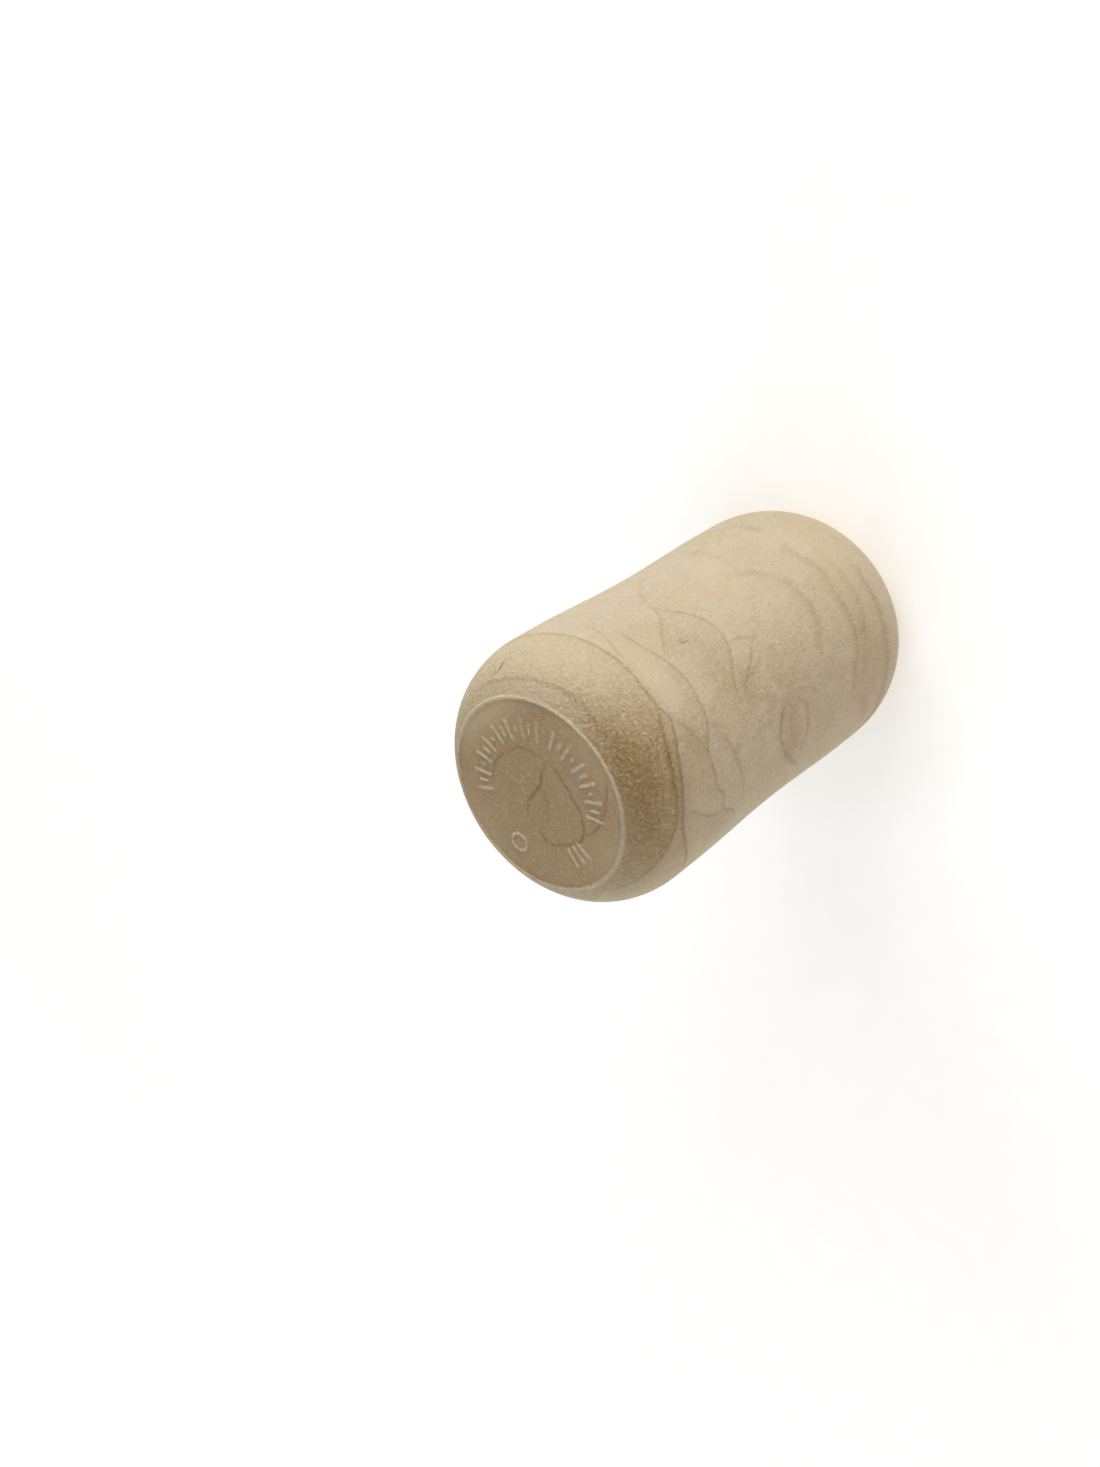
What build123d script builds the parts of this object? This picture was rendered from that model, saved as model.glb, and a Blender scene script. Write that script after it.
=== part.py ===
from build123d import *

import math
import os

# Synthetic wine cork, moulded in one piece from foamed thermoplastic elastomer.
# It stands on its smooth, dished end, with its axis on Z and the flat, marked disc on top.
# Millimetres.  Origin: centre of the seat, on the surface that the cork stands on.

# ---- driving dimensions -------------------------------------------------------------------
LENGTH = 38.0                  # seat to the crest of the lip round the disc
DIAMETER = 21.5                # over the two bearing bands, which press on a bottle's neck
BAND_LENGTH = 2.0              # straight length of each bearing band
WAIST_DEPTH = 0.25             # how far the side has sunk between the bands, on radius

FOOT_SHOULDER_HEIGHT = 6.2     # smooth end: the shoulder is a quarter of an ellipse
FOOT_SHOULDER_WIDTH = 4.5
SEAT_WIDTH = 1.0               # flat ring between the shoulder and the dish
DISH_DEPTH = 0.45              # hollow in the middle of the smooth end

DISC_SHOULDER_HEIGHT = 5.5     # disc end: an ellipse cut short by the disc's plane
DISC_SHOULDER_SEMI_HEIGHT = 6.1
DISC_SHOULDER_SEMI_WIDTH = 5.1
LIP_HEIGHT = 0.12              # raised line that the mould's end plate leaves round the disc
LIP_WIDTH = 0.32

MARK_HEIGHT = 0.10             # the disc's raised marks are plain strokes in a ring
MARK_ROOT = 0.20               # how far a mark's solid reaches down into the disc
STROKE_WIDTH = 0.30
STROKE_LENGTHS = (1.75, 0.95, 1.75, 0.50)      # repeated along the ring, like a dial's ticks
STROKE_RADIUS = 5.25           # from the axis to the middle of a stroke
STROKE_PITCH = 7.5             # degrees from one stroke to the next
LONG_RUN = (62, 15)            # first stroke's angle in degrees, number of strokes
SHORT_RUN = (-58, 11)
TALLY_RUN = (190, 3)
EYELET_ANGLE = 116             # a plain raised ring stands alone between the runs
EYELET_RADIUS = 0.85

# ---- values that follow from them ----------------------------------------------------------
BAND_RADIUS = DIAMETER / 2
SEAT_OUTER_RADIUS = BAND_RADIUS - FOOT_SHOULDER_WIDTH
SEAT_INNER_RADIUS = SEAT_OUTER_RADIUS - SEAT_WIDTH
DISH_SPHERE_RADIUS = (SEAT_INNER_RADIUS**2 + DISH_DEPTH**2) / (2 * DISH_DEPTH)
DISC_Z = LENGTH - LIP_HEIGHT
DISC_SHOULDER_Z = DISC_Z - DISC_SHOULDER_HEIGHT
DISC_SHOULDER_ARC = math.degrees(math.asin(DISC_SHOULDER_HEIGHT / DISC_SHOULDER_SEMI_HEIGHT))
LOWER_BAND_TOP = FOOT_SHOULDER_HEIGHT + BAND_LENGTH
UPPER_BAND_FOOT = DISC_SHOULDER_Z - BAND_LENGTH
WAIST_Z = (LOWER_BAND_TOP + UPPER_BAND_FOOT) / 2


def half_section():
    """Half of the cork's section, closed along its axis: X is the radius, Y the height."""
    with BuildSketch(Plane.XZ) as section:
        with BuildLine():
            dish = RadiusArc((0, DISH_DEPTH), (SEAT_INNER_RADIUS, 0), DISH_SPHERE_RADIUS)
            seat = Line(dish @ 1, (SEAT_OUTER_RADIUS, 0))
            foot_shoulder = EllipticalCenterArc(
                (SEAT_OUTER_RADIUS, FOOT_SHOULDER_HEIGHT),
                FOOT_SHOULDER_WIDTH,
                FOOT_SHOULDER_HEIGHT,
                start_angle=-90,
                arc_size=90,
            )
            lower_band = Line(foot_shoulder @ 1, (BAND_RADIUS, LOWER_BAND_TOP))
            waist = Spline(
                lower_band @ 1,
                (BAND_RADIUS - WAIST_DEPTH, WAIST_Z),
                (BAND_RADIUS, UPPER_BAND_FOOT),
                tangents=[(0, 1), (0, 1)],
            )
            upper_band = Line(waist @ 1, (BAND_RADIUS, DISC_SHOULDER_Z))
            disc_shoulder = EllipticalCenterArc(
                (BAND_RADIUS - DISC_SHOULDER_SEMI_WIDTH, DISC_SHOULDER_Z),
                DISC_SHOULDER_SEMI_WIDTH,
                DISC_SHOULDER_SEMI_HEIGHT,
                start_angle=0,
                arc_size=DISC_SHOULDER_ARC,
            )
            rim = disc_shoulder @ 1
            lip = ThreePointArc(
                rim, (rim.X - LIP_WIDTH / 2, LENGTH), (rim.X - LIP_WIDTH, DISC_Z)
            )
            disc = Line(lip @ 1, (0, DISC_Z))
            Line(disc @ 1, dish @ 0)
        make_face()
    return section.sketch


def raised(outline, angle):
    """A mark of the given outline, raised from the disc on the ring of marks."""
    place = Rot(0, 0, angle) * Pos(STROKE_RADIUS, 0, DISC_Z - MARK_ROOT)
    return place * extrude(outline, MARK_ROOT + MARK_HEIGHT)


def stroke_run(first_angle, count, lengths):
    """Evenly spaced radial strokes, clockwise from the first one."""
    return [
        raised(
            SlotOverall(lengths[i % len(lengths)], STROKE_WIDTH),
            first_angle - STROKE_PITCH * i,
        )
        for i in range(count)
    ]


def disc_marks():
    """All raised marks: two runs of strokes, a tally of three bars and an eyelet."""
    eyelet = Circle(EYELET_RADIUS) - Circle(EYELET_RADIUS - STROKE_WIDTH)
    return [
        *stroke_run(*LONG_RUN, STROKE_LENGTHS),
        *stroke_run(*SHORT_RUN, STROKE_LENGTHS),
        *stroke_run(*TALLY_RUN, STROKE_LENGTHS[:1]),
        raised(eyelet, EYELET_ANGLE),
    ]


cork = revolve(half_section(), Axis.Z)
cork = cork.fuse(*disc_marks())

os.makedirs("parts", exist_ok=True)
export_step(cork, "parts/cork.step")
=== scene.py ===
"""Looks of a synthetic wine cork moulded in one piece from foamed thermoplastic elastomer.

The cork stands on its smooth end with its axis on Z.  Lengths are given in millimetres and
turned to Blender's metres by MM where a mesh, a lamp or a texture is made.
"""

import logging
import math
from dataclasses import dataclass, field
from enum import Enum
from functools import cached_property
from typing import Any

import bpy
import numpy as np
from mathutils import Matrix, Vector


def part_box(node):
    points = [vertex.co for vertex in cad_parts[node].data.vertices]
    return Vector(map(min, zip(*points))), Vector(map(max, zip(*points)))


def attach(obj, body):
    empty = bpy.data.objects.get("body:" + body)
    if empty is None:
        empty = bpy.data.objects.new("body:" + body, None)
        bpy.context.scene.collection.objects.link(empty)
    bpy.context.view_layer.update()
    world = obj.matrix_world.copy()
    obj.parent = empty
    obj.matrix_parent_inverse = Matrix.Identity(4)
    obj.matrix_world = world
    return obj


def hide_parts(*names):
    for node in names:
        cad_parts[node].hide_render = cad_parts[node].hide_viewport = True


MM = 0.001
CAD_NODE = "cork"
BODY = "root"
BAKE_MAP = "OFBake"
WHITE = "ffffff"
CURVE_STEPS = 12                    # divisions of each span of a listed line

Socket = bpy.types.NodeSocket

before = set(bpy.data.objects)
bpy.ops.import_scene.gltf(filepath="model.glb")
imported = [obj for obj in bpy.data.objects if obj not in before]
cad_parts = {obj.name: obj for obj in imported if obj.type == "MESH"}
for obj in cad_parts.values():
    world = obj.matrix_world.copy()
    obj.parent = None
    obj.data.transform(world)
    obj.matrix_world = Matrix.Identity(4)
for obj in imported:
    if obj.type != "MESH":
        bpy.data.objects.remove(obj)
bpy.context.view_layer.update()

log = logging.getLogger("cork")


# ---- small helpers --------------------------------------------------------------------------


def srgb(code: str) -> tuple[float, float, float, float]:
    """Turn a colour written in sRGB hex into the linear values that nodes use.

    Args:
        code: six hex digits, such as "d9c9ab".

    Returns:
        Linear red, green, blue and an alpha of one.
    """
    parts = [int(code[i:i + 2], 16) / 255 for i in (0, 2, 4)]
    linear = [v / 12.92 if v <= 0.04045 else ((v + 0.055) / 1.055) ** 2.4 for v in parts]
    return (linear[0], linear[1], linear[2], 1.0)


def smooth(low: float, high: float, value: np.ndarray) -> np.ndarray:
    """Ease from 0 at low to 1 at high.

    Args:
        low: where the step starts.
        high: where the step ends.
        value: the values to ease.

    Returns:
        The eased values, from 0 to 1.
    """
    t = np.clip((value - low) / (high - low), 0, 1)
    return t * t * (3 - 2 * t)


def catmull_rom(points: np.ndarray, steps: int = CURVE_STEPS) -> np.ndarray:
    """Run a smooth curve through a few points.

    Args:
        points: the points, one a row.
        steps: divisions of each span.

    Returns:
        Points along the curve, ends included.
    """
    padded = np.vstack([2 * points[0] - points[1], points, 2 * points[-1] - points[-2]])
    t = np.linspace(0, 1, steps, endpoint=False)[:, None]
    spans = [
        0.5 * (2 * b + (c - a) * t + (2 * a - 5 * b + 4 * c - d) * t**2
               + (3 * b - a - 3 * c + d) * t**3)
        for a, b, c, d in zip(padded, padded[1:], padded[2:], padded[3:])
    ]
    return np.vstack([*spans, points[-1:]])


def run_along(points: np.ndarray) -> np.ndarray:
    """Length run from the first point to each one.

    Args:
        points: the points of a line, one a row.

    Returns:
        One length a point, starting with zero.
    """
    steps = np.linalg.norm(np.diff(points, axis=0), axis=1)
    return np.concatenate([[0], np.cumsum(steps)])


def keep(mesh: bpy.types.Mesh, name: str, values: np.ndarray) -> None:
    """Store a number or a vector at each vertex, for the material to read.

    Args:
        mesh: the mesh that gets the attribute.
        name: the attribute's name.
        values: one number or one row of three a vertex.
    """
    kind, part = ("FLOAT", "value") if values.ndim == 1 else ("FLOAT_VECTOR", "vector")
    attribute = mesh.attributes.new(name, kind, "POINT")
    attribute.data.foreach_set(part, values.astype(np.float32).ravel())


def place_in_scene(name: str, data: Any) -> bpy.types.Object:
    """Make an object and put it into the scene.

    Args:
        name: the object's name.
        data: its mesh, lamp or camera.

    Returns:
        The object.
    """
    made = bpy.data.objects.new(name, data)
    bpy.context.scene.collection.objects.link(made)
    return made


def blank_material(name: str) -> bpy.types.Material:
    """Make a material with an empty node tree.

    Args:
        name: the material's name.

    Returns:
        The material.
    """
    made = bpy.data.materials.new(name)
    made.use_nodes = True
    made.node_tree.nodes.clear()
    return made


def add(tree: bpy.types.NodeTree, kind: str, inputs: dict[Any, Any] | None = None,
        **settings: Any) -> bpy.types.Node:
    """Add one node with its settings, plain input values and links.

    Args:
        tree: the node tree that gets the node.
        kind: the node's Blender type name.
        inputs: socket name or number to a value, or to the output socket to link.
        settings: properties of the node, such as operation="MULTIPLY".

    Returns:
        The new node.
    """
    node = tree.nodes.new(kind)
    for name, value in settings.items():
        setattr(node, name, value)
    for key, value in (inputs or {}).items():
        socket = node.inputs[key]
        if isinstance(value, bpy.types.NodeSocket):
            tree.links.new(value, socket)
        else:
            socket.default_value = value
    return node


@dataclass(frozen=True)
class Noise:
    """A soft random pattern of a material."""

    size: float                     # how far across its features are
    detail: float = 3.0             # how many finer layers it has
    rough: float = 0.6              # how strong the finer layers are


class Wiring:
    """Short ways to add the nodes that the cork's and the studio's trees share."""

    def __init__(self, tree: bpy.types.NodeTree) -> None:
        """Take the tree that gets the nodes."""
        self.tree = tree

    @cached_property
    def place(self) -> Socket:
        """Places in the object's own frame, in metres."""
        return add(self.tree, "ShaderNodeTexCoord").outputs["Object"]

    @cached_property
    def direct(self) -> Socket:
        """Find the rays that the eye follows: straight, mirrored or let through.

        Returns:
            One for such rays, zero for the others.
        """
        ray = add(self.tree, "ShaderNodeLightPath").outputs
        straight = self.calc("MAXIMUM", ray["Is Camera Ray"], ray["Is Glossy Ray"])
        return self.calc("MAXIMUM", straight, ray["Is Transmission Ray"])

    def calc(self, operation: str, *values: Any) -> Socket:
        """Output of one Math node on the given values or sockets."""
        sources = dict(enumerate(values))
        return add(self.tree, "ShaderNodeMath", sources, operation=operation).outputs[0]

    def vector(self, operation: str, *values: Any, output: str = "Vector") -> Socket:
        """Output of one Vector Math node on the given values or sockets."""
        sources = dict(enumerate(values))
        return add(self.tree, "ShaderNodeVectorMath", sources,
                   operation=operation).outputs[output]

    def parts(self, vector: Socket) -> Any:
        """Sockets of a vector's three parts."""
        return add(self.tree, "ShaderNodeSeparateXYZ", {0: vector}).outputs

    def stored(self, name: str, output: str = "Fac") -> Socket:
        """A value kept on the mesh, as a number or, with output "Vector", as a vector."""
        return add(self.tree, "ShaderNodeAttribute", attribute_name=name).outputs[output]

    def ease(self, value: Socket, low: Any, high: Any, to_low: Any = 0.0,
             to_high: Any = 1.0) -> Socket:
        """Ease a value from one range to another.

        Args:
            value: the value to ease.
            low: where the step starts.
            high: where the step ends.
            to_low: the result before the step.
            to_high: the result after it.

        Returns:
            The eased value.
        """
        return add(self.tree, "ShaderNodeMapRange", {
            "Value": value, "From Min": low, "From Max": high, "To Min": to_low,
            "To Max": to_high,
        }, interpolation_type="SMOOTHSTEP").outputs["Result"]

    def noise(self, pattern: Noise, at: Socket | None = None) -> Socket:
        """Add a noise for a material.

        Args:
            pattern: its size and detail.
            at: places to take it at, the object's own when left out.

        Returns:
            The noise, from 0 to 1.
        """
        return add(self.tree, "ShaderNodeTexNoise", {
            "Vector": self.place if at is None else at, "Scale": 1 / (pattern.size * MM),
            "Detail": pattern.detail, "Roughness": pattern.rough,
        }).outputs[0]

    def mix(self, share: Any, base: Any, over: Any, blend: str = "MIX") -> Socket:
        """Lay one colour over another.

        Args:
            share: how much of the upper colour shows.
            base: the lower colour.
            over: the upper colour.
            blend: how the two meet, such as "MULTIPLY".

        Returns:
            The mixed colour.
        """
        return add(self.tree, "ShaderNodeMix", {0: share, 6: base, 7: over},
                   data_type="RGBA", blend_type=blend).outputs[2]


# ---- form -----------------------------------------------------------------------------------


@dataclass(frozen=True)
class Outline:
    """Half section of the cork, from the middle of the disc to the middle of the dish."""

    length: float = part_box(CAD_NODE)[1].z / MM
    band_radius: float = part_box(CAD_NODE)[1].x / MM
    band_length: float = 2.0
    waist_depth: float = 0.25
    foot_height: float = 6.2
    foot_width: float = 4.5
    seat_width: float = 1.0
    dish_depth: float = 0.45
    shoulder_height: float = 5.5
    shoulder_semi_height: float = 6.1
    shoulder_semi_width: float = 5.1
    lip_height: float = 0.12
    lip_width: float = 0.32
    pole_radius: float = 0.35       # innermost ring of vertices at both ends
    disc_step: float = 0.1          # rows on the disc are this close, to carry the marks
    lip_rows: int = 8
    shoulder_rows: int = 48
    side_rows: int = 118
    foot_rows: int = 36
    dish_rows: int = 19

    @property
    def disc_z(self) -> float:
        """Height of the flat disc."""
        return self.length - self.lip_height

    @property
    def disc_radius(self) -> float:
        """Radius where the disc end's shoulder meets the lip."""
        share = math.sqrt(1 - (self.shoulder_height / self.shoulder_semi_height) ** 2)
        return self.band_radius - self.shoulder_semi_width * (1 - share)

    @property
    def seat_edge(self) -> float:
        """Radius where the smooth end's shoulder meets the seat."""
        return self.band_radius - self.foot_width

    def disc(self) -> np.ndarray:
        """Draw the disc.

        Returns:
            Radius and height of each row, from the middle out.
        """
        radii = np.arange(self.pole_radius, self.disc_radius - self.lip_width, self.disc_step)
        radii = np.concatenate([[0.0], radii])
        return np.column_stack([radii, np.full(len(radii), self.disc_z)])

    def lip(self) -> np.ndarray:
        """Draw the half-round line that stands up round the disc.

        Returns:
            Radius and height of each row, outwards.
        """
        turn = np.linspace(0, math.pi, self.lip_rows)
        radii = self.disc_radius - self.lip_width / 2 * (1 + np.cos(turn))
        return np.column_stack([radii, self.disc_z + self.lip_height * np.sin(turn)])

    def disc_shoulder(self) -> np.ndarray:
        """Draw the shoulder at the disc end, an ellipse that the disc cuts short.

        Returns:
            Radius and height of each row, downwards.
        """
        start = math.asin(self.shoulder_height / self.shoulder_semi_height)
        turn = np.linspace(start, 0, self.shoulder_rows)[1:]
        centre_r = self.band_radius - self.shoulder_semi_width
        centre_z = self.disc_z - self.shoulder_height
        return np.column_stack([
            centre_r + self.shoulder_semi_width * np.cos(turn),
            centre_z + self.shoulder_semi_height * np.sin(turn),
        ])

    def side(self) -> np.ndarray:
        """Draw the side: two bearing bands and the shallow waist between them.

        Returns:
            Radius and height of each row, downwards.
        """
        top = self.disc_z - self.shoulder_height
        heights = np.linspace(top, self.foot_height, self.side_rows)[1:]
        t = heights - self.foot_height - self.band_length
        t = np.clip(t / (top - self.foot_height - 2 * self.band_length), 0, 1)
        return np.column_stack([
            self.band_radius - self.waist_depth * np.sin(math.pi * t) ** 2, heights
        ])

    def foot_shoulder(self) -> np.ndarray:
        """Draw the smooth end's shoulder, a quarter of an ellipse.

        Returns:
            Radius and height of each row, downwards.
        """
        turn = np.linspace(0, math.pi / 2, self.foot_rows)[1:]
        return np.column_stack([
            self.seat_edge + self.foot_width * np.cos(turn),
            self.foot_height * (1 - np.sin(turn)),
        ])

    def seat_and_dish(self) -> np.ndarray:
        """Draw the flat seat and the dish, which runs out into it without an edge.

        Returns:
            Radius and height of each row, inwards.
        """
        rim = self.seat_edge - self.seat_width
        radii = np.linspace(self.seat_edge, self.pole_radius, self.dish_rows)[1:]
        radii = np.concatenate([radii, [0.0]])
        share = np.clip(radii / rim, 0, 1)
        return np.column_stack([radii, self.dish_depth * (1 - share**2) ** 2])

    def points(self) -> np.ndarray:
        """Draw the whole half section.

        Returns:
            Radius and height of every row of the skin, from the disc's middle down.
        """
        return np.vstack([
            self.disc(), self.lip(), self.disc_shoulder(), self.side(),
            self.foot_shoulder(), self.seat_and_dish(),
        ])

    def on_side(self, azimuth: np.ndarray, drop: np.ndarray) -> np.ndarray:
        """Find places on the shoulders and side.

        Args:
            azimuth: angles round the axis, in degrees from +X.
            drop: heights below the disc's plane.

        Returns:
            The places, one a row.
        """
        rows = np.vstack([self.disc_shoulder(), self.side(), self.foot_shoulder()])
        height = self.disc_z - drop
        radius = np.interp(height, rows[::-1, 1], rows[::-1, 0])
        angle = np.radians(azimuth)
        return np.column_stack([radius * np.cos(angle), radius * np.sin(angle), height])


@dataclass(frozen=True)
class DiscMarks:
    """Plain raised strokes in a ring on the disc, with a tally of three and an eyelet."""

    height: float = 0.10
    width: float = 0.30
    radius: float = 5.25
    pitch: float = 7.5              # degrees from one stroke to the next
    lengths: tuple[float, ...] = (1.75, 0.95, 1.75, 0.50)
    long_run: tuple[float, int] = (62.0, 15)        # first stroke's angle, and how many
    short_run: tuple[float, int] = (-58.0, 11)
    tally_run: tuple[float, int] = (190.0, 3)
    eyelet_angle: float = 116.0
    eyelet_radius: float = 0.85
    eyelet_points: int = 33

    def strokes(self) -> list[np.ndarray]:
        """Draw the strokes.

        Returns:
            Their centre lines, each a pair of points on the disc.
        """
        lines = []
        runs = ((self.long_run, self.lengths), (self.short_run, self.lengths),
                (self.tally_run, self.lengths[:1]))
        for (first, count), lengths in runs:
            for i in range(count):
                angle = math.radians(first - self.pitch * i)
                half = (lengths[i % len(lengths)] - self.width) / 2
                radii = np.array([self.radius - half, self.radius + half])
                lines.append(np.outer(radii, (math.cos(angle), math.sin(angle))))
        return lines

    def eyelet(self) -> np.ndarray:
        """Draw the eyelet.

        Returns:
            Its centre line, closed.
        """
        turn = np.linspace(0, 2 * math.pi, self.eyelet_points)
        angle = math.radians(self.eyelet_angle)
        middle = self.radius * np.array([math.cos(angle), math.sin(angle)])
        reach = self.eyelet_radius - self.width / 2
        return middle + reach * np.column_stack([np.cos(turn), np.sin(turn)])

    def build(self, disc_z: float) -> bpy.types.Object:
        """Lay the centre lines out as loose edges.

        Args:
            disc_z: height of the disc that carries the marks.

        Returns:
            A helper object, removed once the skin is made.
        """
        verts: list[tuple[float, float, float]] = []
        edges: list[tuple[int, int]] = []
        for line in [*self.strokes(), self.eyelet()]:
            first = len(verts)
            verts += [(x * MM, y * MM, disc_z * MM) for x, y in line]
            edges += [(first + i, first + i + 1) for i in range(len(line) - 1)]
        mesh = bpy.data.meshes.new("mark_lines")
        mesh.from_pydata(verts, edges, [])
        return place_in_scene("mark_lines", mesh)


class Face(Enum):
    """Which part of the cork a flow line runs on."""

    SIDE = "side"
    DISC = "disc"


@dataclass(frozen=True)
class Near:
    """How places lie to the nearest point of a route."""

    distance: np.ndarray
    offset: np.ndarray              # to the left of the route's run, below zero to the right
    beyond: np.ndarray              # past the route's ends
    from_end: np.ndarray            # back along the route to its nearer end


@dataclass(frozen=True)
class Route:
    """A flow line's middle, laid over the cork."""

    points: np.ndarray              # closely spaced, one a row
    outward: np.ndarray             # away from the surface, at each point or for them all

    def near(self, places: np.ndarray) -> Near:
        """Measure places against the route.

        Args:
            places: the places, one a row.

        Returns:
            How they lie to it.
        """
        along = np.gradient(self.points, axis=0)
        along /= np.linalg.norm(along, axis=1, keepdims=True)
        across = np.cross(self.outward, along)
        run = run_along(self.points)
        gap = places[:, None, :] - self.points[None]
        index = (gap**2).sum(-1).argmin(1)
        gap = gap[np.arange(len(places)), index]
        at_end = (index == 0) | (index == len(self.points) - 1)
        return Near(
            distance=np.linalg.norm(gap, axis=1),
            offset=(gap * across[index]).sum(1),
            beyond=np.where(at_end, np.abs((gap * along[index]).sum(1)), 0),
            from_end=np.minimum(run[index], run[-1] - run[index]),
        )


@dataclass(frozen=True)
class FlowLine:
    """A seam where two fronts of melt met in the mould, seen as a fine darker line.

    On the side a point is (degrees round the axis, millimetres below the disc); on the disc
    it is (x, y).  Lines that meet take different tracks, so that each keeps its own middle.
    Lee says which front deepens towards the seam: 1 for the one on the left of the line's
    run, which is nearer the disc where azimuth rises, and -1 for the other.
    """

    track: int
    show: float
    half_width: float
    points: tuple[tuple[float, float], ...]
    face: Face = Face.SIDE
    lee: int = 0

    def route(self, outline: Outline) -> Route:
        """Lay the line's middle over the cork.

        Args:
            outline: the form that the line lies on.

        Returns:
            The route.
        """
        flat = catmull_rom(np.array(self.points, float))
        if self.face is Face.DISC:
            points = np.column_stack([flat, np.full(len(flat), outline.disc_z)])
            return Route(points, np.array([[0, 0, 1.0]]))
        points = outline.on_side(flat[:, 0], flat[:, 1])
        outward = points * (1, 1, 0)
        return Route(points, outward / np.linalg.norm(outward, axis=1, keepdims=True))


HAIR, FINE, SOFT, DEEP = 0.08, 0.13, 0.24, 0.42     # half widths, deeper seams being wider

# edge of the grainy shoulder: degrees round the axis, and how far below the disc
GRAIN_EDGE = (
    (-180, 0.7), (-168, 1.0), (-150, 2.0), (-131, 2.85), (-110, 3.2), (-96, 3.75), (-85, 4.55),
    (-60, 4.9), (-25, 4.75), (20, 4.6), (60, 4.9), (100, 4.4), (140, 2.9), (165, 1.3),
)

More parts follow.
